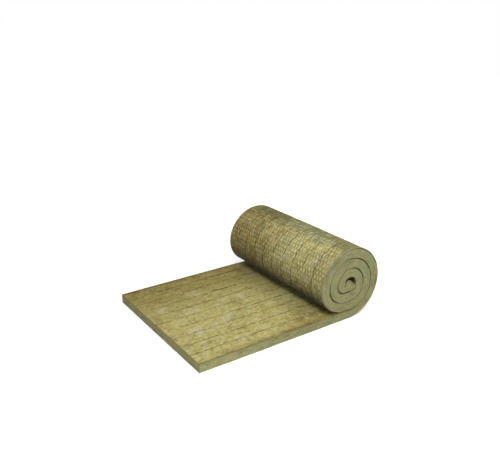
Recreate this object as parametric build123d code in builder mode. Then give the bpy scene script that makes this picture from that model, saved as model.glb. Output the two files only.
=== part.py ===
from build123d import *
import os

# A length of mineral wool mat, wound into a roll at one end, with the rest unrolled flat.
# X runs along the mat from its free end towards the roll, Y across it, and Z up.
# The origin is on the floor, under the middle of the whole thing. Sizes are in millimetres.

# The mat
mat_width = 1000.0
mat_thickness = 60.0

# How it is wound: three whole turns, which bear on each other along a flat run at the bottom
free_length = 1065.0
full_turns = 3
turn_gap = 2.0
settled_flat = 50.0

# The hollow in the innermost turn, on the side away from the free end
hollow_low_radius = 41.5
hollow_high_radius = 51.5

# The inner end of the mat, folded into the hollow and pressed into a dome
eye_height = 16.0
end_ledge = 21.0
crease_depth = 16.0
crease_sweep = 13.0
ledge_round = 5.0
dome_round = 8.0

pitch = mat_thickness + turn_gap


def quarter_radii(turn, depth):
    """Radii of one turn's four quarter arcs in winding order, depth outside its inner face.

    A turn climbs by one pitch and comes back short by the flat run, so the two quarters on
    the side towards the free end follow from the two on the far side.
    """
    far_low = hollow_low_radius + depth + pitch * (full_turns - 1 - turn)
    far_high = hollow_high_radius + depth + pitch * (full_turns - 1 - turn)
    near_high = far_low - (pitch - settled_flat) / 2
    near_low = far_high - (pitch + settled_flat) / 2
    return far_low, far_high, near_high, near_low


def wind(face, radii):
    """Carries a face of the mat on through a row of quarter arcs and returns the last of them."""
    for radius in radii:
        face = JernArc(face @ 1, face % 1, radius, 90)
    return face


# Where the free end lies, and where the mat lifts off the floor into its first turn
roll_reach = quarter_radii(0, mat_thickness)[0]
free_end = -(free_length + roll_reach) / 2
lift_off = free_end + free_length

with BuildPart() as mat:
    with BuildSketch(Plane.XZ) as section:
        with BuildLine():
            # The outer face, from the free end round every turn to the edge of the inner end
            outer = Line((free_end, 0), (lift_off, 0))
            for turn in range(full_turns):
                outer = wind(outer, quarter_radii(turn, mat_thickness))
                outer = PolarLine(outer @ 1, settled_flat, 0)
            outer = wind(outer, [hollow_low_radius - turn_gap])

            # The inner face, from the free end to the widest point of the hollow
            inner = Line((free_end, mat_thickness), (lift_off, mat_thickness))
            for turn in range(full_turns - 1):
                inner = wind(inner, quarter_radii(turn, 0))
                inner = PolarLine(inner @ 1, settled_flat, 0)
            inner = wind(inner, quarter_radii(full_turns - 1, 0)[:3])
            hollow_top = inner @ 0
            hollow_side_radius = quarter_radii(full_turns - 1, 0)[2]

            # The crease, a slit as wide as the gap between turns, where the mat folds on itself
            crease = PolarLine(inner @ 1, crease_depth, -90)
            crease = JernArc(crease @ 1, crease % 1, turn_gap / 2, 180)
            crease = PolarLine(crease @ 1, crease_depth, 90)
            crease = JernArc(crease @ 1, crease % 1, hollow_side_radius - turn_gap, -crease_sweep)

            # The inner end: a ledge of cut edge, and the dome under the crescent eye of the roll
            ledge = PolarLine(outer @ 1, end_ledge, 180)
            crown = hollow_top - Vector(0, eye_height)
            ThreePointArc(ledge @ 1, crown, crease @ 1)

            # The cut face of the free end
            Line((free_end, 0), (free_end, mat_thickness))
        make_face()
        fillet(section.vertices().sort_by_distance(ledge @ 0)[:1], ledge_round)
        fillet(section.vertices().sort_by_distance(crease @ 1)[:1], dome_round)
    extrude(amount=mat_width / 2, both=True)
mat.part.label = "mat"

print("length of the mat along its middle:", round(section.sketch.area / mat_thickness))

os.makedirs("parts", exist_ok=True)
export_step(mat.part, "parts/mat.step")
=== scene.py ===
"""Looks of the part-unrolled stone wool mat: its wool, its stitched rows and its loose fibres."""

import math

import bpy
import numpy as np
from mathutils import Matrix, Vector
from mathutils.geometry import delaunay_2d_cdt


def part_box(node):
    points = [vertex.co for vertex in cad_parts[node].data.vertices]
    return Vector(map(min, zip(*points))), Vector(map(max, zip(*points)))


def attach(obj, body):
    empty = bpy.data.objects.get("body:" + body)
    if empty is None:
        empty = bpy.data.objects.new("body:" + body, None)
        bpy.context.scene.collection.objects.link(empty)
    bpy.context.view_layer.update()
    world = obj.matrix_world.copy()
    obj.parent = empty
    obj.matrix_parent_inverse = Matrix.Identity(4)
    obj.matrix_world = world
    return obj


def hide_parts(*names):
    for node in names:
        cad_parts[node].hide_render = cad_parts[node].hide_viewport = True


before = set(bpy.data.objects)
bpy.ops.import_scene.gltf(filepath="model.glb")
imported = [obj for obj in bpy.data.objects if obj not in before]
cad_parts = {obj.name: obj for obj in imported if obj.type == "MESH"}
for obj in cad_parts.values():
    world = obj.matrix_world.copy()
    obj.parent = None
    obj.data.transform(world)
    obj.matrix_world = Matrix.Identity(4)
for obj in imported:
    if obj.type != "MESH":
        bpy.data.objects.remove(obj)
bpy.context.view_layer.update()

# Driving sizes of the mat, in metres: the box comes from the frame, the rest repeats the part's source
mat_low, mat_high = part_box("mat")
half_width = (mat_high.y - mat_low.y) / 2
thickness = 0.060
free_length = 1.065
full_turns = 3
turn_gap = 0.002
settled_flat = 0.050
hollow_low_radius = 0.0415
hollow_high_radius = 0.0515
eye_height = 0.016
end_ledge = 0.021
crease_depth = 0.016
crease_sweep = math.radians(13)
pitch = thickness + turn_gap
free_end = mat_low.x
lift_off = free_end + free_length

# How far ahead of the closed nip a face counts as inside the roll, the length over which one face
# changes to the next, and how far the walls of the gap are followed round the inner end
nip_lead = 0.020
fade_length = 0.030
tongue_reach = 0.060

# The pressed face: little pillows in staggered rows, and stitched rows that run along the mat
pillow_width = 0.025
pillow_length = 0.0285
pillow_depth = 0.0030
seam_pitch = 0.100
seam_count = 9
seam_wander = 0.0022
pressed_seam_depth = 0.0034
felt_seam_depth = 0.0024
seam_half_width = 0.0032
seam_line_width = 0.0078
seam_drift = 0.006

# How far the walls of the gap between the turns give way, at degrees counted on round the roll
# along the gap: it starts under the roll at -90 and reaches the inner end of the mat at 630
gap_slack = (
    (-110, 0.0012), (-75, 0.0010), (-50, -0.0006), (0, -0.0006), (25, 0.0008), (50, 0.0017),
    (80, 0.0012), (105, -0.0004), (120, -0.0008), (155, -0.0008), (172, 0.0010), (200, 0.0022),
    (230, 0.0019), (255, -0.0006), (300, -0.0008), (345, -0.0007), (375, 0.0010), (400, 0.0017),
    (430, 0.0011), (455, -0.0004), (475, -0.0008), (525, -0.0006), (550, 0.0009), (600, 0.0022),
    (645, 0.0020), (670, -0.0002), (720, -0.0007),
)

# How far the wall of the hollow gives way, at degrees round it from its far side up and over, how
# far the dome of the inner end is pressed in, and the slack of the crease, which closes up
hollow_slack = (
    (-10, 0.0), (20, 0.0015), (45, 0.0050), (68, 0.0035), (90, 0.0010), (112, 0.0030),
    (138, 0.0065), (156, 0.0030), (170, 0.0),
)
dome_press = 0.0015
crease_slack = -0.0006

# How far the outermost turn stands out, at distances along the mat, and how much more at mid-width
outer_slack = (
    (1.04, 0.0), (1.20, -0.0030), (1.34, -0.0008), (1.50, 0.0045), (1.65, 0.0072), (1.78, 0.0048),
    (1.95, 0.0),
)
outer_barrel = 0.35

# The mesh of the wool: how far its columns stop short of the cut ends, where a rounded rim bends as a
# share of its radius, and how rows crowd at the sharp corners and columns at the stitched rows
rim_clear = 0.0045
rim_bend = 0.29
corner_steps = (-0.0042, -0.0020, -0.0007, 0.0007, 0.0020, 0.0042)
corner_clear = 0.0012
seam_steps = (0.0024, 0.0055, 0.0125, 0.0215, 0.031, 0.041)

# The cut ends: layers of points through the thickness, their steps along the mat, and the grid that
# fills the inner end, clear of the outline and of the layers
end_layers = 8
end_step = 0.009
grid_step = 0.008
grid_reach = (0.12, 0.09)
outline_clear = 0.0045
layer_clear = 0.006

# The thread of the stitched rows, and where it stops by the free end and by the nip
thread_radius = 0.0005
stitch_length = 0.029
stitch_pitch = 0.034
stitch_points = 6
stitch_stray = 0.0005
free_end_clear = 0.012
low_nip_clear = 0.010
high_nip_clear = 0.020

# The loose fibres: how many are tried on the faces, the share of them at the rims and the share left
# out under the flat part, and how deep their roots sit
fibre_count = 12000
rim_share = 0.3
floor_share = 0.85
fibre_sink = 0.0004
fibre_radii = (0.00016, 0.00012, 0.00003)

# The camera that matches the photograph, worked out from the mat's edges
camera_place = (-2.01428, -2.99606, 1.86683)
camera_yaw = 0.5972
camera_pitch = 0.3494
camera_roll = -0.0051
camera_lens = 45.06

# The floor, and the lamps: name, degrees round and up, power and size
floor_reach = 12.0
floor_drop = 0.0004
world_level = 0.20
lamp_aim = (0.0, 0.0, 0.15)
lamp_distance = 3.4
lamps = (
    ("key", 235, 55, 56.0, 1.0),
    ("front", 290, 30, 19.0, 1.8),
    ("front_high", 290, 55, 14.0, 1.8),
    ("end_on", 260, 30, 10.0, 1.8),
    ("side", 210, 30, 7.0, 1.8),
    ("back", 68, 40, 30.0, 1.8),
)


# Smooth noise

def hashed(seed, ix, iy):
    """Random numbers between 0 and 1, one for each pair of whole numbers."""
    h = ix.astype(np.int64) * 374761393 + iy.astype(np.int64) * 668265263 + seed * 974634777
    h = (h ^ (h >> 13)) & 0x7FFFFFFF
    h = (h * 1274126177) & 0x7FFFFFFF
    h = (h ^ (h >> 16)) & 0x7FFFFFFF
    return h / 0x7FFFFFFF


def noise(seed, x, y):
    """Smooth noise between -1 and 1 with features about one unit across."""
    x, y = np.broadcast_arrays(np.asarray(x, float), np.asarray(y, float))
    ix, iy = np.floor(x), np.floor(y)
    fx, fy = x - ix, y - iy
    fx, fy = fx * fx * (3 - 2 * fx), fy * fy * (3 - 2 * fy)
    near = hashed(seed, ix, iy) * (1 - fx) + hashed(seed, ix + 1, iy) * fx
    far = hashed(seed, ix, iy + 1) * (1 - fx) + hashed(seed, ix + 1, iy + 1) * fx
    return 2 * (near * (1 - fy) + far * fy) - 1


def ease(low, high, x):
    """Rises smoothly from 0 at low to 1 at high."""
    t = np.clip((x - low) / (high - low), 0, 1)
    return t * t * (3 - 2 * t)


def window(x, start, full, falling, end):
    """Rises smoothly from 0 at start to 1 at full, and falls from 1 at falling to 0 at end."""
    return ease(start, full, x) * ease(end, falling, x)


# Lengths and places

def steps(points):
    """The distance from each point of a row to the next."""
    return np.linalg.norm(np.diff(points, axis=0), axis=1)


def distances(points, others):
    """The distance from every point to each of the others."""
    return np.linalg.norm(points[:, None] - others[None], axis=2)


def inside(points, border):
    """Which points lie inside a closed outline."""
    a, b = border, np.roll(border, -1, axis=0)
    x, z = points[:, 0:1], points[:, 1:2]
    crosses = (a[:, 1] > z) != (b[:, 1] > z)
    rise = np.where(b[:, 1] == a[:, 1], 1.0, b[:, 1] - a[:, 1])
    at = a[:, 0] + (z - a[:, 1]) * (b[:, 0] - a[:, 0]) / rise
    return (crosses & (x < at)).sum(1) % 2 == 1


def in_space(section, across):
    """Points in space, from places in the section and across the mat."""
    return np.stack([section[..., 0], across, section[..., 1]], -1)


# The mat's section, in stretches that each know their outer and inner face

class Flat:
    """A straight stretch that starts at (x, z) on the outer face and runs towards +X."""

    def __init__(self, x, z, length):
        self.x, self.z = x, z
        self.length = self.middle_length = self.inner_length = length

    def at(self, share, depth):
        return self.x + self.length * share, self.z + depth + 0 * share


class Quarter:
    """A quarter turn about a centre, from start on, with the outer face at the radius."""

    def __init__(self, x, z, radius, start):
        self.x, self.z, self.radius, self.start = x, z, radius, start
        self.length = radius * math.pi / 2
        self.middle_length = (radius - thickness / 2) * math.pi / 2
        self.inner_length = (radius - thickness) * math.pi / 2

    def at(self, share, depth):
        angle = self.start + share * math.pi / 2
        return self.x + (self.radius - depth) * np.cos(angle), self.z + (self.radius - depth) * np.sin(angle)


def outer_radii(turn):
    """Outer radii of one turn's four quarters, as in the part's source."""
    more = thickness + pitch * (full_turns - 1 - turn)
    far_low = hollow_low_radius + more
    far_high = hollow_high_radius + more
    return far_low, far_high, far_low - (pitch - settled_flat) / 2, far_high - (pitch + settled_flat) / 2


def laps():
    """The stretches of the mat in winding order, from the free end to the last settled run."""
    found = [Flat(free_end, 0.0, free_length)]
    for turn in range(full_turns):
        a, b, c, d = outer_radii(turn)
        floor_z = pitch * turn
        found += [
            Quarter(lift_off, floor_z + a, a, -math.pi / 2),
            Quarter(lift_off + a - b, floor_z + a, b, 0.0),
            Quarter(lift_off + a - b, floor_z + a + b - c, c, math.pi / 2),
            Quarter(lift_off + a - b - c + d, floor_z + a + b - c, d, math.pi),
            Flat(lift_off - settled_flat, floor_z + pitch, settled_flat),
        ]
    return found


def circle_through(p, q, r):
    """Centre and radius of the circle through three points."""
    p, q, r = (np.array(v, float) for v in (p, q, r))
    rows = np.array([q - p, r - q])
    centre = np.linalg.solve(rows, [rows[0] @ (p + q) / 2, rows[1] @ (q + r) / 2])
    return centre, np.linalg.norm(p - centre)


def bow(centre, radius, start, end, step=0.001):
    """Points along an arc."""
    count = max(3, int(abs(end - start) * radius / step) + 1)
    angle = np.linspace(start, end, count)
    return np.stack([centre[0] + radius * np.cos(angle), centre[1] + radius * np.sin(angle)], 1)


def line(a, b, step=0.001):
    """Points along a straight run."""
    count = max(3, int(math.dist(a, b) / step) + 1)
    return np.linspace(a, b, count)


def inner_end():
    """Points round the mat's inner end: tongue, ledge, dome, crease, in the order of the outline."""
    tongue_radius = hollow_low_radius - turn_gap
    tongue_z = pitch * full_turns + tongue_radius
    a, b, c, _ = (r - thickness for r in outer_radii(full_turns - 1))
    hollow_top = np.array([lift_off + a - b, pitch * (full_turns - 1) + thickness + a + b])
    side_centre = hollow_top - [0, c]
    fold_radius = c - turn_gap
    fold_angle = math.pi - crease_sweep
    fold_top = side_centre + fold_radius * np.array([math.cos(fold_angle), math.sin(fold_angle)])
    ledge_end = np.array([lift_off + tongue_radius - end_ledge, tongue_z])
    centre, radius = circle_through(ledge_end, hollow_top - [0, eye_height], fold_top)
    first, last = (math.atan2(*(p - centre)[::-1]) for p in (ledge_end, fold_top))
    slit_x = side_centre[0] - c
    slit_z = side_centre[1] - crease_depth
    return [
        bow((lift_off, tongue_z), tongue_radius, -math.pi / 2, 0),
        line((lift_off + tongue_radius, tongue_z), ledge_end),
        bow(centre, radius, first, last),
        bow(side_centre, fold_radius, fold_angle, math.pi),
        line((slit_x + turn_gap, side_centre[1]), (slit_x + turn_gap, slit_z)),
        bow((slit_x + turn_gap / 2, slit_z), turn_gap / 2, 0, -math.pi, 0.0003),
        line((slit_x, slit_z), (slit_x, side_centre[1])),
    ]


class Outline:
    """The section's closed outline, walked from the free end's lower corner with the wool on the left."""

    softness = 0.0016
    step = 0.0005

    def __init__(self):
        stretches, end_parts = laps(), inner_end()
        paired = stretches[:-2]
        share = np.linspace(0, 1, 400)
        outer = [np.stack(s.at(share, 0.0), 1) for s in stretches]
        inner = [np.stack(s.at(share[::-1], thickness), 1) for s in reversed(paired)]
        face = line((free_end, thickness), (free_end, 0.0))
        walk = np.concatenate([*outer, *end_parts, *inner, face])
        walk = walk[np.append(True, steps(walk) > 1e-7)]
        walked = np.append(0, np.cumsum(steps(walk)))
        self.length = walked[-1]
        self.count = int(self.length / self.step)
        at = np.arange(self.count) * self.length / self.count
        self.points = self.soften(np.stack([np.interp(at, walked, walk[:, k]) for k in range(2)], 1))
        tangent = np.roll(self.points, -2, axis=0) - np.roll(self.points, 2, axis=0)
        tangent /= np.linalg.norm(tangent, axis=1)[:, None]
        self.outward = np.stack([tangent[:, 1], -tangent[:, 0]], 1)

        # Where each part of the outline starts and ends
        self.nip = free_length + sum(s.length for s in stretches[1:5]) - nip_lead
        self.tongue = sum(s.length for s in stretches)
        self.top_end = self.length - thickness
        self.top_start = self.top_end - (free_length - settled_flat - nip_lead)
        self.hollow_start = self.tongue + sum(steps(p).sum() for p in end_parts)
        self.hollow_end = self.hollow_start + sum(s.inner_length for s in paired[-3:])
        self.dome_start = self.tongue + sum(steps(p).sum() for p in end_parts[:2])
        self.dome_end = self.hollow_start - 2 * crease_depth - 2 * turn_gap

        # The faces inside the roll give way, the dome sags and the crease closes above its foot
        slit_z = end_parts[4][-1][1]
        dome_start, dome_end, fold_end = self.dome_start, self.dome_end, self.hollow_start
        on_dome = window(at, dome_start - 0.004, dome_start + 0.015, dome_end - 0.008, dome_end)
        in_crease = window(at, dome_end - 0.004, dome_end, fold_end, fold_end + 0.008)
        in_crease = in_crease * ease(slit_z + 0.003, slit_z + 0.009, self.points[:, 1])
        give = self.wall_slack(at) + dome_press * on_dome + crease_slack * in_crease
        self.points -= self.outward * give[:, None]

    def soften(self, points):
        """Rounds the corners of the outline by a smooth average along it."""
        reach = int(4 * self.softness / self.step)
        offsets = np.arange(-reach, reach + 1)
        weights = np.exp(-0.5 * (offsets * self.step / self.softness) ** 2)
        weights /= weights.sum()
        return sum(w * np.roll(points, -k, axis=0) for k, w in zip(offsets, weights))

    def wall_slack(self, at):
        """How far the walls of the gap and of the hollow give way, at distances along the outline."""
        give = np.zeros(self.count)
        for wall, sign, nip_index in (
            ((at > self.nip) & (at < self.tongue + tongue_reach), 1, 0),
            ((at > self.hollow_end - tongue_reach) & (at < self.top_start), -1, -1),
        ):
            outward = sign * self.outward[wall]
            angle = np.degrees(np.unwrap(np.arctan2(outward[:, 1], outward[:, 0])))
            angle += 360 * np.round((-90 - angle[nip_index]) / 360)
            give[wall] = np.interp(angle, *zip(*gap_slack))
        give *= 1 - ease(self.tongue + 0.02, self.tongue + tongue_reach, at) * (at < self.hollow_end)
        give *= window(at, self.nip, self.nip + fade_length, self.top_start - fade_length, self.top_start)

        wall = (at > self.hollow_start) & (at < self.hollow_end)
        inward = -self.outward[wall]
        give[wall] += np.interp(np.degrees(np.arctan2(inward[:, 1], inward[:, 0])), *zip(*hollow_slack))
        return give

    def at(self, s):
        """Places and outward directions at distances along the outline."""
        index = np.mod(np.asarray(s) / self.length * self.count, self.count)
        low = np.floor(index).astype(int) % self.count
        high = (low + 1) % self.count
        part = (index - np.floor(index))[..., None]
        return [values[low] * (1 - part) + values[high] * part for values in (self.points, self.outward)]


# Relief of the mat's faces

def seam_shift(number, along):
    """How far a stitched row strays to one side, at distances along the mat."""
    slow = noise(31 + number, along / 0.11, 0.5)
    quick = noise(131 + number, along / 0.04, 0.5)
    return seam_wander * (slow + 0.4 * quick) + seam_drift * ease(1.3, 1.75, along)


def seam_rest(number):
    """Where a stitched row runs across the mat before it strays."""
    return (number - (seam_count - 1) / 2) * seam_pitch


def seam_line(number, along):
    """Where a stitched row runs across the mat, at distances along it."""
    return seam_rest(number) + seam_shift(number, along)


def nearest_seam(across):
    """The number of the stitched row nearest to each place."""
    number = np.round(across / seam_pitch) + (seam_count - 1) / 2
    return np.clip(number, 0, seam_count - 1).astype(int)


def seam_press(along, across, depth):
    """How deep the stitched rows press into a face."""
    number = nearest_seam(across)
    off = (across - seam_line(number, along)) / seam_half_width
    strength = 0.72 + 0.28 * noise(61 + number, along / 0.045, 0.5)
    return depth * strength * np.exp(-0.5 * off * off)


def pillow_place(along, across):
    """The place in the pattern of pillows, in cells, across and along, a little uneven."""
    u = across / pillow_width + 0.10 * noise(11, along / 0.13, across / 0.09)
    v = along / pillow_length + 0.16 * noise(12, along / 0.10, across / 0.08)
    u = u + 0.10 * noise(13, along / 0.035, across / 0.035)
    v = v + 0.13 * noise(14, along / 0.035, across / 0.035)
    return u, v


def pillows(u, v):
    """Height of the pillows from 0 in the grooves to 1, and a random number for each."""
    row = np.floor(v)
    shifted = u + 0.5 * np.mod(row, 2)
    cell = np.floor(shifted)
    off_u = np.abs(2 * (shifted - cell) - 1)
    off_v = np.abs(2 * (v - row) - 1)
    return (1 - off_u ** 2.6) ** 0.7 * (1 - off_v ** 3.2) ** 0.7, hashed(21, cell, row)


def pressed_relief(along, across):
    """Height of the pressed face over its plain surface: it only goes in."""
    height, luck = pillows(*pillow_place(along, across))
    pressed = pillow_depth * (1 - height * (0.70 + 0.30 * luck))
    lumps = 0.0010 * (1 + noise(41, along / 0.07, across / 0.06))
    return -pressed - 0.5 * lumps - seam_press(along, across, pressed_seam_depth)


def swell(along, across):
    """How far the outermost turn stands out."""
    return np.interp(along, *zip(*outer_slack)) * (1 + outer_barrel * (1 - (across / half_width) ** 2))


def felt_relief(along, across):
    """Height of the smoother face over its plain surface."""
    lumps = 0.0014 * noise(42, along / 0.11, across / 0.08)
    lumps = lumps + 0.0007 * noise(43, along / 0.035, across / 0.028)
    fine = 0.0004 * noise(44, along / 0.018, across / 0.014)
    return lumps + fine - 0.0008 - seam_press(along, across, felt_seam_depth)


def end_relief(x, z):
    """How far the cut ends stand out, over their plain surface."""
    return 0.0010 * noise(51, x / 0.12, z / 0.10) + 0.0005 * noise(52, x / 0.022, z / 0.022) - 0.0008


# The wool: one closed mesh, swept across the mat and closed by its two cut ends

def short_of_rims(places):
    """The places that lie short of the mat's rims."""
    return places[np.abs(places) < half_width - rim_clear]


def even_columns(count):
    """Places across the mat at even steps."""
    return short_of_rims(np.linspace(-half_width, half_width, count + 1))


def seam_columns():
    """Places across the mat that crowd together at the stitched rows."""
    middles = seam_rest(np.arange(-1, seam_count + 1))
    beside = np.array(seam_steps)
    crowd = middles[:, None] + np.concatenate([-beside, [0], beside])
    return short_of_rims(np.sort(np.append(crowd, middles + seam_pitch / 2)))


def strayed(columns, along):
    """The columns moved over with the stitched rows, at one distance along the mat."""
    numbers = np.arange(seam_count)
    rests = [-half_width, *seam_rest(numbers), half_width]
    return columns + np.interp(columns, rests, [0, *seam_shift(numbers, along), 0])


# The materials of the wool, in the order of its slots
pressed, felted, cut, inner = range(4)


class Zone:
    """A stretch of the outline with its own spacing, columns, material and rim."""

    def __init__(self, *values):
        self.start, self.end, self.spacing, self.columns, self.look, self.rim = values


def wool_zones(outline):
    """The zones, once round the outline, each from the end of the one before."""
    lift = pillow_length * round(free_length / pillow_length)
    zones, start = [], 0.0
    for end, *rest in (
        (lift, pillow_length / 3, even_columns(120), pressed, 0.0025),
        (outline.nip, pillow_length / 5, even_columns(240), pressed, 0.0030),
        (outline.tongue, 0.0080, even_columns(6), inner, 0.0006),
        (outline.dome_end, 0.0030, even_columns(6), inner, 0.0015),
        (outline.hollow_start, 0.0020, even_columns(6), inner, 0.0006),
        (outline.hollow_end, 0.0040, even_columns(12), inner, 0.0015),
        (outline.top_start, 0.0080, even_columns(6), inner, 0.0006),
        (outline.top_end, 0.0115, seam_columns(), felted, 0.0028),
        (outline.length, 0.0060, even_columns(90), cut, 0.0014),
    ):
        zones.append(Zone(start, end, *rest))
        start = end
    return zones


def wool_rows(outline):
    """The rows of the sweep: distance along the outline, zone, and the rim eased from zone to zone."""
    zones = wool_zones(outline)
    corners = np.array([0.0, outline.top_end, outline.length])
    extra = np.concatenate([corners + d for d in corner_steps])
    rows = []
    for k, zone in enumerate(zones):
        count = max(1, round((zone.end - zone.start) / zone.spacing))
        stations = np.linspace(zone.start, zone.end, count + 1)[:-1]
        close = extra[(extra > zone.start) & (extra < zone.end)]
        clear = [s for s in stations if np.abs(close - s).min(initial=1) > corner_clear or s == zone.start]
        less_ahead = min(zone.rim, zones[(k + 1) % len(zones)].rim) - zone.rim
        less_behind = min(zone.rim, zones[k - 1].rim) - zone.rim
        for s in np.sort(np.concatenate([clear, close])):
            near_end = ease(zone.end - fade_length, zone.end, s)
            near_start = 1 - ease(zone.start, zone.start + fade_length, s)
            rows.append((s, zone, zone.rim + min(near_end * less_ahead, near_start * less_behind)))
    return rows


def row_points(outline, s, zone, rim):
    """The points of one row from rim to rim, and their places across the mat."""
    along = outline.top_end - s if zone.look == felted else s
    middle = strayed(zone.columns, along) if zone.look in (pressed, felted) else zone.columns
    low = rim * np.array([0.0, rim_bend, 1.0]) - half_width
    inset = rim * np.array([1.0, rim_bend, 0.0])
    across = np.concatenate([low, middle, -low[::-1]])
    inset = np.concatenate([inset, 0 * middle, inset[::-1]])
    if zone.look == pressed:
        height = pressed_relief(along, across)
    elif zone.look == felted:
        height = felt_relief(along, across) * ease(outline.top_start, outline.top_start + fade_length, s)
    elif zone.look == cut:
        height = 0.0008 * noise(53, across / 0.03, s / 0.012) - 0.0008
    else:
        height = 0 * across
    height = height * ease(0, 0.010, half_width - np.abs(across)) - inset
    if zone.look == pressed:
        height = height + swell(along, across)
    place, outward = outline.at(s)
    place = place + outward * height[:, None]
    stand = end_relief(place[:, 0], place[:, 1]) * ease(half_width - 0.04, half_width, np.abs(across))
    return in_space(place, across + np.sign(across) * stand), across


def sew(a, b, a_start, b_start, rim):
    """Faces between two rows, each with whether it belongs to the cut end, as those of the rim do.

    The rows' columns lie at a and b, and their points are numbered from a_start and b_start on.
    They are joined by quads where their columns match and by a zip of triangles where they don't.
    """
    last_a, last_b = len(a) - 1, len(b) - 1
    if last_a == last_b:
        for k in range(last_a):
            m, n = a_start + k, b_start + k
            yield (m, n, n + 1, m + 1), k < rim or k >= last_a - rim
        return
    p = q = 0
    while p < last_a or q < last_b:
        m, n = a_start + p, b_start + q
        at_end = max(p, q) < rim or max(last_a - p, last_b - q) <= rim
        if q == last_b or (p < last_a and a[p + 1] <= b[q + 1]):
            yield (m, n, m + 1), at_end
            p += 1
        else:
            yield (m, n, n + 1), at_end
            q += 1


def wool_mesh(outline):
    """Builds the wool: points, their spots on the outline and on the cut ends, faces and their kinds."""
    rows = wool_rows(outline)
    points, spots, starts = [], [], []
    total = 0
    for s, zone, rim in rows:
        row, across = row_points(outline, s, zone, rim)
        points.append(row)
        spots.append(np.stack([s + 0 * across, across], 1))
        starts.append(total)
        total += len(row)

    # The swept faces; between the turns the cut ends take the whole rim, elsewhere its outer half
    faces, looks, on_end = [], [], []
    for i, (_, zone, _) in enumerate(rows):
        j = (i + 1) % len(rows)
        rim = 2 if zone.look == inner else 1
        for face, at_end in sew(points[i][:, 1], points[j][:, 1], starts[i], starts[j], rim):
            faces.append(face)
            looks.append(cut if at_end else zone.look)
            on_end.append(at_end)

    # The cut ends: the outline's own points, and a lattice that follows the turns
    lattice, lattice_place = cap_lattice(outline)
    rim_low = np.array(starts)
    rim_high = rim_low + [len(row) - 1 for row in points]
    triangles = cap_triangles(np.array([row[0, [0, 2]] for row in points]), lattice)
    for sign, rim_index in ((-1, rim_low), (1, rim_high)):
        numbers = np.append(rim_index, total + np.arange(len(lattice)))
        stand = half_width + end_relief(lattice[:, 0], lattice[:, 1])
        stand = stand + 0.0004 * noise(54, lattice_place[:, 0] / 0.05, lattice_place[:, 2] / 0.009)
        points.append(in_space(lattice, sign * stand))
        total += len(lattice)
        faces += [tuple(t) for t in numbers[triangles][:, ::-sign].tolist()]
        looks += [cut] * len(triangles)
        on_end += [True] * len(triangles)

    # Where the points lie: on the outline and across the mat, and as the cut ends see them
    spots = np.concatenate([*spots, np.zeros((2 * len(lattice), 2))])
    end_places = np.zeros((total, 3))
    border_place = cap_border_place(outline, np.array([s for s, _, _ in rows]))
    for step in range(3):
        end_places[rim_low + step] = border_place
        end_places[rim_high - step] = border_place
    end_places[-2 * len(lattice):] = np.tile(lattice_place, (2, 1))
    return np.concatenate(points), spots, end_places, faces, looks, on_end


def cap_triangles(border, lattice):
    """Triangles over a cut end, by the numbers of the border's points and, after them, the lattice's."""
    flat = [Vector(p) for p in np.concatenate([border, lattice])]
    edges = [(i, (i + 1) % len(border)) for i in range(len(border))]
    met, _, triangles, originals, _, _ = delaunay_2d_cdt(flat, edges, [], 0, 1e-7, True)
    middles = np.array(met)[np.array(triangles)].mean(1)
    source = np.array([o[0] for o in originals])
    return source[np.array(triangles)[inside(middles, border)]]


def cap_lattice(outline):
    """Points inside the section that follow the turns, with their distance along the mat and depth."""
    stretches = laps()
    found, place = [], []
    along = 0.0
    for stretch in stretches[:-2]:
        count = max(2, round(stretch.middle_length / end_step))
        share = (np.arange(count) + 0.5) / count
        for depth in np.arange(1, end_layers) / end_layers * thickness:
            found.append(np.stack(stretch.at(share, depth), 1))
            place.append(np.stack([along + share * stretch.middle_length, 0 * share, depth + 0 * share], 1))
        along += stretch.middle_length
    found, place = np.concatenate(found), np.concatenate(place)

    # The inner end, whose points go by the nearest spot on its outer face
    last = stretches[-2]
    grid = np.stack(np.meshgrid(
        np.arange(last.x - last.radius, last.x + grid_reach[0], grid_step),
        np.arange(last.z - last.radius, last.z + grid_reach[1], grid_step),
    ), -1).reshape(-1, 2)
    border = outline.points[::4]
    clear = distances(grid, border).min(1) > outline_clear
    clear &= distances(grid, found).min(1) > layer_clear
    grid = grid[clear & inside(grid, border)]
    rim_s = np.linspace(outline.tongue - last.length - settled_flat, outline.tongue + tongue_reach, 300)
    gaps = distances(grid, outline.at(rim_s)[0])
    nearest = gaps.argmin(1)
    grid_place = np.stack([along + rim_s[nearest] - rim_s[0], 0 * nearest, gaps.min(1)], 1)
    return np.concatenate([found, grid]), np.concatenate([place, grid_place])


def cap_border_place(outline, s):
    """Distance along the mat and depth, for the points on the rim of a cut end."""
    stretches = laps()
    outer_ends, middle_ends, inner_ends = (
        np.append(0, np.cumsum([getattr(t, name) for t in stretches]))
        for name in ("length", "middle_length", "inner_length")
    )
    on_inner = np.interp(outline.top_end - s, inner_ends[:-2], middle_ends[:-2])
    on_outer = s <= outer_ends[-1]
    along = np.where(on_outer, np.interp(s, outer_ends, middle_ends), on_inner)
    depth = np.where(on_outer, 0.0, np.minimum(thickness, outline.length - s))
    return np.stack([along, 0 * s, depth], 1)


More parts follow.
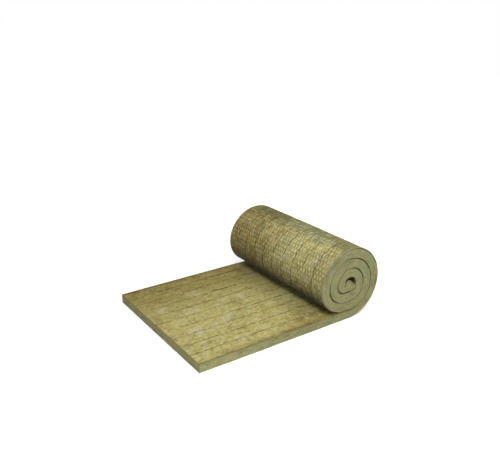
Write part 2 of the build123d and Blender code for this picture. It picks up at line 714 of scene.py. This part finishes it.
def corner_places(outline, spots, end_places, faces, looks, on_end):
    """The place on the mat of every face's corners: along, across and depth, by the kind of the face."""
    size = [len(face) for face in faces]
    vertex = np.array([k for face in faces for k in face])
    look, on_end = np.repeat(looks, size), np.repeat(on_end, size)
    s, across = spots[vertex, 0], spots[vertex, 1]
    s = np.where((look == cut) & (s < outline.nip), outline.length, s)
    along = np.select([look == felted, look == cut], [outline.top_end - s, 0 * s], s)
    hollow = (look == inner) & (s > outline.tongue) & (s < outline.hollow_end)
    hollow &= (s < outline.dome_start) | (s > outline.hollow_start)
    depth = np.select([look == cut, hollow], [outline.length - s, thickness + 0 * s], 0)
    return np.where(on_end[:, None], end_places[vertex], np.stack([along, across, depth], 1))


# The pieces

def linked(name, data):
    """A new object in the scene."""
    made = bpy.data.objects.new(name, data)
    bpy.context.scene.collection.objects.link(made)
    return made


def piece(name, points, faces, materials):
    """A mesh that rides with the mat."""
    mesh = bpy.data.meshes.new(name)
    mesh.from_pydata(points.tolist(), [], faces)
    mesh.validate()
    mesh.shade_smooth()
    for material in materials:
        mesh.materials.append(material)
    made = linked(name, mesh)
    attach(made, "root")
    print(name, "triangles", sum(len(face) - 2 for face in faces))
    return made


def make_wool(outline):
    """The wool, with the places on the mat that its materials follow."""
    points, spots, end_places, faces, looks, on_end = wool_mesh(outline)
    materials = (pressed_look(), felt_look(), cut_look(), inner_look())
    wool = piece("wool", points, faces, materials)
    mesh = wool.data
    mesh.polygons.foreach_set("material_index", np.array(looks, np.int32))
    places = corner_places(outline, spots, end_places, faces, looks, on_end)
    along, across, _ = places.T
    cells = np.stack([*pillow_place(along, across), seam_shift(nearest_seam(across), along)], 1)
    for name, values in (("mat_place", places), ("pillow_place", cells)):
        attribute = mesh.attributes.new(name, "FLOAT_VECTOR", "CORNER")
        attribute.data.foreach_set("vector", values.astype(np.float32).ravel())
    mesh.update()
    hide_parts("mat")


def tubes(paths, outwards, radii, sides):
    """Closed thin tubes along rows of points, all with the same number of points: points and faces."""
    count, length, _ = paths.shape
    ahead = np.gradient(paths, axis=1)
    ahead /= np.linalg.norm(ahead, axis=2)[..., None]
    beside = np.cross(ahead, outwards)
    beside /= np.linalg.norm(beside, axis=2)[..., None]
    above = np.cross(beside, ahead)
    turn = (np.arange(sides) * 2 * math.pi / sides)[:, None]
    ring = np.cos(turn) * above[:, :, None] + np.sin(turn) * beside[:, :, None]
    points = paths[:, :, None] + ring * radii[..., None, None]
    k, m = np.meshgrid(np.arange(length - 1), np.arange(sides), indexing="ij")
    a, b = k * sides + m, k * sides + (m + 1) % sides
    wall = np.stack([a, b, b + sides, a + sides], -1).reshape(-1, 4)
    start = np.arange(sides)[::-1][None]
    end = (length - 1) * sides + np.arange(sides)[None]
    base = (np.arange(count) * length * sides)[:, None, None]
    faces = [f for part in (wall, start, end) for f in (base + part).reshape(-1, part.shape[1]).tolist()]
    return points.reshape(-1, 3), faces


def surface_point(outline, s, across):
    """Place and outward direction on the dressed face, at distances along the outline and across the mat."""
    place, outward = outline.at(s)
    top = felt_relief(outline.top_end - s, across)
    height = np.where(s > outline.top_start, top, pressed_relief(s, across) + swell(s, across))
    place = place + outward * height[..., None]
    return in_space(place, across), in_space(outward, np.zeros_like(across))


def make_stitches(outline):
    """The thread of the stitched rows: it shows in short lengths and dives into the wool between them."""
    rng = np.random.default_rng(5)
    share = np.linspace(0, 1, stitch_points)
    along, across = [], []
    for on_top, start, end in (
        (False, free_end_clear, outline.nip - low_nip_clear),
        (True, outline.top_start + high_nip_clear, outline.top_end - free_end_clear),
    ):
        for k in range(seam_count):
            s = start + rng.uniform(0, stitch_pitch)
            while s + stitch_length < end:
                run = s + share * stitch_length * rng.uniform(0.82, 1.08)
                middle = seam_line(k, outline.top_end - run if on_top else run)
                along.append(run)
                across.append(middle + rng.uniform(-stitch_stray, stitch_stray))
                s += stitch_pitch * rng.uniform(0.9, 1.1)
    place, outward = surface_point(outline, np.array(along), np.array(across))
    rise = thread_radius * (2.6 * np.sin(math.pi * share) ** 0.5 - 2.0)
    paths = place + outward * rise[:, None]
    points, faces = tubes(paths, outward, np.full(paths.shape[:2], thread_radius), 5)
    piece("stitches", points, faces, [thread_look()])


def fibre_roots(outline, rng):
    """Where loose fibres stand on the faces, rims and cut ends, and the outward directions there."""
    shown = outline.nip + outline.top_end - outline.top_start
    s = rng.uniform(0, shown, fibre_count)
    s = np.where(s > outline.nip, s - outline.nip + outline.top_start, s)
    across = rng.uniform(-half_width + 0.001, half_width - 0.001, fibre_count)
    at_rim = rng.random(fibre_count) < rim_share
    rim_place = np.sign(across) * (half_width - rng.uniform(0.0, 0.004, fibre_count))
    root, outward = surface_point(outline, s, np.where(at_rim, rim_place, across))
    keep = ~((s < free_length) & (rng.random(fibre_count) < floor_share))

    end_count = fibre_count // 3
    lattice, _ = cap_lattice(outline)
    pick = lattice[rng.integers(0, len(lattice), end_count)] + rng.normal(0, 0.003, (end_count, 2))
    side = rng.choice([-1.0, 1.0], end_count)
    end_root = in_space(pick, side * (half_width + end_relief(pick[:, 0], pick[:, 1])))
    end_outward = np.stack([0 * side, side, 0 * side], 1)
    return np.concatenate([root[keep], end_root]), np.concatenate([outward[keep], end_outward])


def make_fibres(outline):
    """Loose fibres that stand off the faces, rims and cut ends."""
    rng = np.random.default_rng(9)
    root, outward = fibre_roots(outline, rng)
    count = len(root)
    heading = np.cross(outward, rng.normal(size=(count, 3)))
    heading /= np.linalg.norm(heading, axis=1)[:, None]
    length = rng.uniform(0.005, 0.014, (count, 1))
    lift = rng.uniform(0.05, 0.45, (count, 1))
    bend = rng.uniform(-0.5, 0.3, (count, 1))
    sway = np.cross(outward, heading) * rng.normal(0, 0.35, (count, 1))
    share = np.array([0.0, 0.5, 1.0])
    paths = (
        root[:, None]
        + heading[:, None] * (length * share)[..., None]
        + outward[:, None] * (length * (lift * share + bend * share ** 2 * 0.5))[..., None]
        + sway[:, None] * (length * share ** 2)[..., None]
        - outward[:, None] * fibre_sink
    )
    low = np.array([mat_low.x, -half_width - 0.004, 0.0002])
    high = np.array([mat_high.x, half_width + 0.004, mat_high.z + 0.003])
    paths = np.clip(paths, low, high)
    radii = np.array(fibre_radii) * rng.uniform(0.7, 1.3, (count, 1))
    points, faces = tubes(paths, np.repeat(outward[:, None], 3, axis=1), radii, 3)
    piece("loose_fibres", points, faces, [fibre_look()])


# Materials

class Look:
    """A material with a tone that is built up layer by layer, and short ways to add its nodes."""

    def __init__(self, name, roughness, specular, tone=None):
        self.material = bpy.data.materials.new(name)
        self.material.use_nodes = True
        self.tree = self.material.node_tree
        self.shader = self.tree.nodes["Principled BSDF"]
        self.shader.inputs["Roughness"].default_value = roughness
        self.shader.inputs["Specular IOR Level"].default_value = specular
        self.tone = tone

    def add(self, kind, inputs, **settings):
        node = self.tree.nodes.new(kind)
        for name, value in settings.items():
            setattr(node, name, value)
        for key, value in inputs.items():
            if isinstance(value, bpy.types.NodeSocket):
                self.tree.links.new(value, node.inputs[key])
            else:
                node.inputs[key].default_value = value
        return node

    def attribute(self, name):
        return self.add("ShaderNodeAttribute", {}, attribute_name=name).outputs["Vector"]

    def noise(self, place, scale, detail=3.0, roughness=0.55, distortion=0.0):
        inputs = {"Vector": place, "Scale": scale, "Detail": detail, "Roughness": roughness}
        return self.add("ShaderNodeTexNoise", {**inputs, "Distortion": distortion}).outputs["Fac"]

    def math(self, operation, *values, clamp=False):
        inputs = dict(enumerate(values))
        return self.add("ShaderNodeMath", inputs, operation=operation, use_clamp=clamp).outputs[0]

    def times(self, a, b):
        return self.math("MULTIPLY", a, b)

    def plus(self, a, b, clamp=False):
        return self.math("ADD", a, b, clamp=clamp)

    def minus(self, a, b, clamp=False):
        return self.math("SUBTRACT", a, b, clamp=clamp)

    def off(self, value, middle):
        """How far a value lies from the middle, either way."""
        return self.math("ABSOLUTE", self.minus(value, middle))

    def vector(self, operation, *values):
        return self.add("ShaderNodeVectorMath", dict(enumerate(values)), operation=operation)

    def moved(self, place, x, y):
        return self.vector("ADD", place, (x, y, 0.0)).outputs[0]

    def scaled(self, place, *factors):
        return self.vector("MULTIPLY", place, factors).outputs[0]

    def stretched(self, place, along, across):
        """Places for a noise with features of these lengths, in metres, along and across the mat."""
        return self.scaled(place, 1 / along, 1 / across, 0.0)

    def split(self, vector):
        return self.add("ShaderNodeSeparateXYZ", {0: vector}).outputs

    def join(self, x, y, z):
        return self.add("ShaderNodeCombineXYZ", {0: x, 1: y, 2: z}).outputs[0]

    def between(self, value, low, high, most=1.0, least=0.0):
        """Runs smoothly from least, where the value is at low, to most, where it is at high."""
        inputs = {"Value": value, "From Min": low, "From Max": high, "To Min": least, "To Max": most}
        return self.add("ShaderNodeMapRange", inputs, interpolation_type="SMOOTHSTEP").outputs[0]

    def share(self, *spans):
        """The product of the spans: each is what between takes, or a number or socket as it stands."""
        share, *others = (self.between(*span) if isinstance(span, tuple) else span for span in spans)
        for other in others:
            share = self.times(share, other)
        return share

    def mix(self, share, *tones, blend="MIX"):
        tones = (tone if isinstance(tone, bpy.types.NodeSocket) else (*tone, 1.0) for tone in tones)
        inputs = dict(zip((0, 6, 7), (share, *tones)))
        return self.add("ShaderNodeMix", inputs, data_type="RGBA", blend_type=blend).outputs[2]

    def coat(self, colour, *spans, blend="MIX"):
        """Lays a colour over the tone, as far as the spans say."""
        self.tone = self.mix(self.share(*spans), self.tone, colour, blend=blend)

    def tint(self, colour, *spans):
        """Darkens the tone by a tint, as far as the spans say."""
        self.coat(colour, *spans, blend="MULTIPLY")

    def rough(self, fine, coarse):
        """The height of a rough face, from two noises."""
        return self.plus(self.times(fine, 0.6), self.times(coarse, 0.4))

    def finish(self, height, strength, distance):
        self.tree.links.new(self.tone, self.shader.inputs["Base Color"])
        bump = self.add("ShaderNodeBump", {"Strength": strength, "Distance": distance, "Height": height})
        self.tree.links.new(bump.outputs[0], self.shader.inputs["Normal"])
        return self.material


# Colours of the wool and the thread, linear
pillow_yellow = (0.755, 0.695, 0.305)
pillow_straw = (0.820, 0.790, 0.500)
wool_olive = (0.580, 0.540, 0.215)
wool_green = (0.550, 0.550, 0.260)
wool_brown = (0.450, 0.360, 0.150)
felt_yellow = (0.496, 0.434, 0.146)
felt_straw = (0.542, 0.490, 0.203)
felt_olive = (0.398, 0.352, 0.116)
felt_pale = (0.605, 0.570, 0.365)
felt_brown = (0.345, 0.270, 0.097)
cut_green = (0.374, 0.402, 0.198)
cut_pale = (0.490, 0.500, 0.300)
cut_tan = (0.442, 0.413, 0.176)
cut_dark = (0.235, 0.225, 0.092)
thread_dark = (0.070, 0.055, 0.024)
thread_light = (0.180, 0.145, 0.068)

# Tints that darken a colour where they apply
# The grooves: denser wool and, in part, painted shade
groove_and_shade_tint = (0.48, 0.44, 0.36)
pressed_seam_tint = (0.43, 0.36, 0.27)
felt_seam_tint = (0.42, 0.37, 0.30)
mottle_tint = (0.62, 0.61, 0.57)
fibre_tint = (0.74, 0.73, 0.72)
# Painted shade, in part: the roll's far half darker, as the light falls off there, and browner
far_shade_tint = (0.74, 0.67, 0.57)
# Painted shade, in part: the flat part's far side darker, as the light falls off there, and browner
felt_far_shade_tint = (0.68, 0.63, 0.50)
# Painted shade by the nip and the roll, and at the flat part's rims
brown_shade_tint = (0.66, 0.60, 0.50)
near_tint = (0.86, 0.84, 0.80)
# The roll's top: a greyer hue and, in part, painted shade
top_grey_and_shade_tint = (0.66, 0.71, 0.73)
shade_tint = (0.29, 0.31, 0.49)
# Painted shade on the cut faces, deepening from the free end towards the roll
roll_shade_tint = (0.80, 0.79, 0.78)
# Painted shade in the gaps between the turns and in the hollow
gap_shade_tint = (0.13, 0.12, 0.075)
hollow_shade_tint = (0.24, 0.24, 0.17)


def thread_look():
    """Dull twisted thread."""
    look = Look("thread", 0.85, 0.2, thread_dark)
    place = look.add("ShaderNodeTexCoord", {}).outputs["Object"]
    look.coat(thread_light, look.noise(place, 300.0))
    return look.finish(look.noise(place, 1400.0, 2.0), 0.4, 0.0004)


def fibre_look():
    """Single fibres, from straw to olive."""
    look = Look("single_fibre", 0.7, 0.3, wool_olive)
    place = look.add("ShaderNodeTexCoord", {}).outputs["Object"]
    look.coat(pillow_straw, (look.noise(place, 60.0), 0.35, 0.65))
    return look.finish(look.noise(place, 900.0, 2.0), 0.2, 0.0003)


def seam_mask(look, along, across, shift, faintest):
    """1 on a stitched row's dark line and 0 away from it; the line's strength and width vary."""
    counted = look.math("MULTIPLY_ADD", look.minus(across, shift), 1 / seam_pitch, 0.5)
    number = look.math("FLOOR", counted)
    off = look.times(look.off(look.math("FRACT", counted), 0.5), seam_pitch)
    beads = look.noise(look.join(look.times(along, 34.0), look.times(number, 7.3), 0.0), 1.0, 2.0)
    runs = look.noise(look.join(look.times(along, 5.0), look.times(number, 3.7), 4.0), 1.0, 2.0)
    width = look.between(beads, 0.30, 0.70, seam_line_width, 0.45 * seam_line_width)
    mark = look.minus(1.0, look.between(look.math("DIVIDE", off, width), 0.30, 1.0))
    beaded = look.between(beads, 0.25, 0.60, 1.0, 0.6)
    return look.times(mark, look.times(beaded, look.between(runs, 0.32, 0.58, 1.0, faintest)))


def pressed_look():
    """The pressed face: soft bright pillows between dark grooves, crossed by the stitched rows."""
    look = Look("pressed_wool", 0.95, 0.2, wool_green)
    place = look.attribute("mat_place")
    along, across, _ = look.split(place)
    u, v, shift = look.split(look.attribute("pillow_place"))

    # The pillows, each with its own luck
    row = look.math("FLOOR", v)
    shifted = look.plus(u, look.times(0.5, look.math("FLOORED_MODULO", row, 2.0)))
    cell = look.math("FLOOR", shifted)
    off_u = look.math("ABSOLUTE", look.math("MULTIPLY_ADD", look.minus(shifted, cell), 2.0, -1.0))
    off_v = look.math("ABSOLUTE", look.math("MULTIPLY_ADD", look.math("FRACT", v), 2.0, -1.0))
    luck = look.add("ShaderNodeTexWhiteNoise", {"Vector": look.join(cell, row, 0.0)}).outputs["Value"]
    crown = look.share((off_u, 1.0, 0.45), (off_v, 1.0, 0.60, 1.0, 0.25))

    # Noise at several sizes
    broad = look.noise(place, 6.0, 3.0, 0.6)
    patch = look.noise(look.moved(place, 3.1, 7.7), 17.0, 4.0, 0.62)
    mottle = look.noise(place, 75.0, 3.0, 0.62, 0.4)
    grain = look.noise(look.moved(place, 1.3, 2.9), 190.0, 3.0, 0.62)
    fine = look.noise(look.stretched(place, 0.0085, 0.0024), 1.0, 4.0, 0.65, 0.6)
    clear = look.between(look.noise(place, 11.0, 2.0), 0.34, 0.60, 1.0, 0.45)

    look.coat(wool_olive, (broad, 0.38, 0.62))
    look.coat(pillow_yellow, (luck, 0.0, 0.65, 1.0, 0.1))
    lucky = look.between(luck, 0.80, 1.0, 0.7)
    look.coat(pillow_straw, look.plus(look.between(patch, 0.52, 0.70, 0.8), lucky, clamp=True))
    look.coat(wool_brown, (patch, 0.45, 0.28, 0.80))

    # Single pillows are dull, most of them on the far half and just above the nip
    far = look.between(look.plus(across, look.between(broad, 0.3, 0.7, 0.12, -0.12)), -0.15, 0.30)
    spotty = look.math("MAXIMUM", far, look.between(along, 2.00, 2.15), clamp=True)
    dull = look.times(look.between(luck, 0.35, 0.10), look.math("MULTIPLY_ADD", spotty, 0.30, 0.05))
    look.coat(wool_brown, dull)

    # The grooves, clearer on the far half and darker partly as denser wool, partly as painted shade; then
    # the fibres and the stitched rows
    clear = look.math("MULTIPLY_ADD", far, 0.25, clear, clamp=True)
    look.tint(groove_and_shade_tint, look.times(look.minus(1.0, crown), clear))
    look.tint(mottle_tint, (mottle, 0.60, 0.34, 0.80))
    look.tint(mottle_tint, (grain, 0.64, 0.36, 0.70))
    look.tint(fibre_tint, (fine, 0.65, 0.35, 0.6))
    look.tint(pressed_seam_tint, seam_mask(look, along, across, shift, 0.25))

    # The roll's far half and top, darker in part as painted shade; its near end; painted shade by the nip,
    # paler and greyer on the far side, deeper on the near side; and the rims
    look.tint(far_shade_tint, far)
    look.tint(near_tint, (across, -0.28, -0.46))
    ragged = look.plus(along, look.between(patch, 0.3, 0.7, 0.03, -0.03))
    # The top greyer and darker, partly painted shade
    look.tint(top_grey_and_shade_tint, (ragged, 1.60, 1.74), (ragged, 1.89, 1.80))
    # Painted shade by the nip, made paler and greyer on its far side
    paler_shade = look.share((ragged, 2.19, 2.27), (across, 0.18, 0.45))
    look.coat(cut_pale, look.times(paler_shade, 0.5))
    shade = look.minus(look.between(ragged, 2.05, 2.29), look.times(paler_shade, 0.35), clamp=True)
    look.tint(shade_tint, shade)
    # Deeper painted shade by the nip on the near side
    look.tint(brown_shade_tint, (ragged, 2.16, 2.30), (across, 0.05, -0.25))
    rim = look.math("ABSOLUTE", across)
    look.coat(cut_pale, (rim, half_width - 0.012, half_width - 0.001, 0.6))
    return look.finish(look.rough(fine, grain), 0.7, 0.0016)


def felt_look():
    """The smoother face, felted, mottled and streaked, with the stitched rows."""
    look = Look("felted_wool", 0.95, 0.2, felt_olive)
    place = look.attribute("mat_place")
    along, across, _ = look.split(place)
    _, _, shift = look.split(look.attribute("pillow_place"))

    # Noise at several sizes
    broad = look.noise(place, 4.0, 3.0, 0.6)
    patch = look.noise(look.moved(place, 5.3, 1.9), 9.0, 3.0, 0.52, 0.4)
    blots = look.noise(look.moved(place, 0.9, 6.3), 24.0, 2.0, 0.55, 0.6)
    mottle = look.noise(place, 58.0, 2.0, 0.50, 0.5)
    grain = look.noise(look.moved(place, 0.4, 1.7), 190.0, 3.0, 0.62)
    wisps = look.noise(look.stretched(place, 0.050, 0.030), 1.0, 2.0, 0.5, 0.9)
    swirls = look.noise(look.stretched(place, 0.060, 0.044), 1.0, 1.0, 0.5, 0.9)
    rows = look.noise(look.stretched(place, 0.170, 0.014), 1.0, 2.0, 0.55, 0.4)
    fine = look.noise(look.stretched(place, 0.0085, 0.0024), 1.0, 4.0, 0.65, 0.6)

    # Blots and patches, wisps and swirls with pale and dark lines, and rows that fade by the free end
    look.coat(felt_yellow, (broad, 0.38, 0.62))
    look.coat(felt_straw, (blots, 0.48, 0.66, 0.9))
    look.coat(felt_pale, (patch, 0.53, 0.70, 0.70))
    look.coat(felt_brown, (patch, 0.46, 0.30, 0.85))
    look.coat(felt_straw, (look.off(wisps, 0.53), 0.055, 0.0, 0.7))
    look.tint(mottle_tint, (look.off(wisps, 0.44), 0.060, 0.0, 0.50))
    look.coat(felt_straw, (look.off(swirls, 0.54), 0.060, 0.0, 0.85))
    look.tint(mottle_tint, (look.off(swirls, 0.45), 0.060, 0.0, 0.40))
    look.tint(mottle_tint, (mottle, 0.56, 0.34, 0.50))
    streaked = look.between(along, 0.10, 0.65, 1.0, 0.35)
    look.tint(mottle_tint, (rows, 0.44, 0.28, 0.90), streaked)
    look.coat(felt_straw, (rows, 0.56, 0.72, 0.60), streaked)
    look.tint(mottle_tint, (grain, 0.60, 0.36, 0.05))
    look.tint(fibre_tint, (fine, 0.65, 0.35, 0.15))
    look.tint(felt_seam_tint, seam_mask(look, along, across, shift, 0.15))

    # The far side darker and browner, partly a painted falloff of light, and the rims darker as painted
    # shade, fainter on the near side by the free end
    uneven = look.between(broad, 0.3, 0.7, 0.10, -0.10)
    look.tint(felt_far_shade_tint, (look.plus(across, uneven), -0.02, 0.44))
    # The rims darker: painted shade, fainter on the near side by the free end
    rim = look.plus(look.math("ABSOLUTE", across), look.between(blots, 0.3, 0.7, 0.018, -0.018))
    rim = look.between(rim, half_width - 0.045, half_width - 0.010)
    rim_shade_reach = look.math("MAXIMUM", look.between(along, 0.05, 0.60, 1.0, 0.35), look.between(across, -0.1, 0.1))
    look.tint(brown_shade_tint, look.times(rim, rim_shade_reach))

    # By the roll, painted shade: a dark near corner, a greyer shade on the far side and, on the near side, a
    # paler, greyer strip painted into the nip's shade
    look.tint(brown_shade_tint, (along, 0.45, 0.90), (across, -0.22, -0.44), (blots, 0.58, 0.42, 1.0, 0.35))
    look.coat(cut_pale, (along, 0.80, 0.95), (across, 0.10, 0.42, 0.30))
    look.coat(felt_pale, (along, 0.928, 0.958), (across, -0.44, -0.20, 0.55))
    return look.finish(look.rough(fine, grain), 0.35, 0.0014)


def cut_look():
    """The cut faces: grey-green and tan, with fine layers that follow the turns."""
    look = Look("cut_wool", 0.95, 0.2, cut_green)
    place = look.attribute("mat_place")
    along, _, depth = look.split(place)
    layers = look.noise(look.scaled(place, 13.0, 13.0, 120.0), 1.0, 3.0, 0.6, 0.3)
    streaks = look.noise(look.scaled(place, 20.0, 20.0, 75.0), 1.0, 3.0, 0.6, 0.5)
    broad = look.noise(look.moved(place, 2.2, 0.7), 6.0, 2.0, 0.5)
    patch = look.noise(place, 16.0, 3.0, 0.6, 0.3)
    grain = look.noise(place, 150.0, 3.0, 0.65)
    fine = look.noise(place, 420.0, 3.0, 0.65)

    look.coat(cut_tan, (patch, 0.40, 0.62))
    look.tint(mottle_tint, (broad, 0.50, 0.36, 0.35))
    calm = look.between(along, 1.9, 2.6, 0.50, 0.72)
    look.coat(cut_pale, (streaks, 0.50, 0.64), calm)
    look.coat(cut_dark, (layers, 0.52, 0.36), calm)
    uneven = look.plus(depth, look.between(streaks, 0.35, 0.65, 0.004, -0.004))
    skin = look.between(uneven, thickness - 0.014, thickness - 0.003)
    look.coat(felt_brown, look.times(skin, look.between(along, 1.20, 1.00, 0.75)))
    look.coat(felt_brown, (along, 0.004, 0.0, 0.25))
    # Painted shade: darker towards the roll and on it
    look.tint(roll_shade_tint, (along, -0.1, 0.8))
    look.tint(mottle_tint, (grain, 0.60, 0.36, 0.35))
    look.tint(fibre_tint, (fine, 0.65, 0.35, 0.5))
    return look.finish(look.rough(fine, layers), 0.6, 0.0014)


def inner_look():
    """The faces inside the roll, which show as the dark lines between its turns: painted shade darkens them,
    most in the gaps.
    """
    look = Look("inner_wool", 1.0, 0.1, felt_olive)
    place = look.attribute("mat_place")
    grain = look.noise(place, 150.0, 3.0, 0.65)
    look.coat(wool_green, (look.noise(place, 30.0, 4.0, 0.6), 0.35, 0.65))
    look.tint(mottle_tint, (grain, 0.60, 0.36, 0.7))
    # Painted shade: darkest in the gaps, less in the hollow
    dark = look.mix(look.between(look.split(place)[2], 0.0, thickness), gap_shade_tint, hollow_shade_tint)
    look.tint(dark, 0.85)
    return look.finish(grain, 0.6, 0.0014)


# Floor, light and camera

def make_stage():
    """A pale floor that the camera sees as white but for the shadow near the mat."""
    mesh = bpy.data.meshes.new("floor")
    square = ((-1, -1), (1, -1), (1, 1), (-1, 1))
    corners = [(x * floor_reach, y * floor_reach, -floor_drop) for x, y in square]
    mesh.from_pydata(corners, [], [(0, 1, 2, 3)])
    floor = linked("floor", mesh)
    look = Look("floor_white", 1.0, 0.0)
    look.shader.inputs["Base Color"].default_value = (0.80, 0.80, 0.80, 1.0)
    rays = look.add("ShaderNodeLightPath", {}).outputs
    seen = look.math("MAXIMUM", rays["Is Camera Ray"], rays["Is Glossy Ray"])
    seen = look.math("MAXIMUM", seen, rays["Is Transmission Ray"])
    place = look.add("ShaderNodeNewGeometry", {}).outputs["Position"]
    far = look.vector("LENGTH", look.scaled(place, 1.0, 1.0, 0.0)).outputs["Value"]
    glow = look.between(far, 0.5, 1.9, 1.0, 0.50)
    look.shader.inputs["Emission Color"].default_value = (1.0, 1.0, 1.0, 1.0)
    look.tree.links.new(look.times(seen, glow), look.shader.inputs["Emission Strength"])
    mesh.materials.append(look.material)


def make_light():
    """Soft lamps that stand for the photo's light, with a dim one behind for the views from the back."""
    world = bpy.data.worlds.new("studio")
    world.use_nodes = True
    bpy.context.scene.world = world
    tree = world.node_tree
    background = tree.nodes["Background"]
    background.inputs["Color"].default_value = (1.0, 1.0, 1.0, 1.0)
    rays = tree.nodes.new("ShaderNodeLightPath")
    level = tree.nodes.new("ShaderNodeMix")
    level.inputs[2].default_value = world_level
    level.inputs[3].default_value = 1.0
    tree.links.new(rays.outputs["Is Camera Ray"], level.inputs[0])
    tree.links.new(level.outputs[0], background.inputs["Strength"])

    for name, azimuth, elevation, power, size in lamps:
        lamp = bpy.data.lights.new(name, "AREA")
        lamp.shape = "SQUARE"
        lamp.size = size
        lamp.energy = power
        a, e = math.radians(azimuth), math.radians(elevation)
        toward = Vector((math.cos(a) * math.cos(e), math.sin(a) * math.cos(e), math.sin(e)))
        holder = linked(name, lamp)
        holder.location = Vector(lamp_aim) + lamp_distance * toward
        holder.rotation_euler = toward.to_track_quat("Z", "Y").to_euler()


def make_camera():
    """The camera at the photo's place."""
    lens = bpy.data.cameras.new("camera")
    lens.sensor_fit = "HORIZONTAL"
    lens.sensor_width = 36.0
    lens.lens = camera_lens
    lens.clip_end = 100.0
    camera = linked("camera", lens)
    camera.matrix_world = (
        Matrix.Translation(camera_place)
        @ Matrix.Rotation(-camera_yaw, 4, "Z")
        @ Matrix.Rotation(math.pi / 2 - camera_pitch, 4, "X")
        @ Matrix.Rotation(camera_roll, 4, "Z")
    )
    bpy.context.scene.camera = camera


bpy.context.scene.view_settings.view_transform = "Standard"
make_camera()
make_light()
make_stage()
outline = Outline()
make_wool(outline)
make_stitches(outline)
make_fibres(outline)
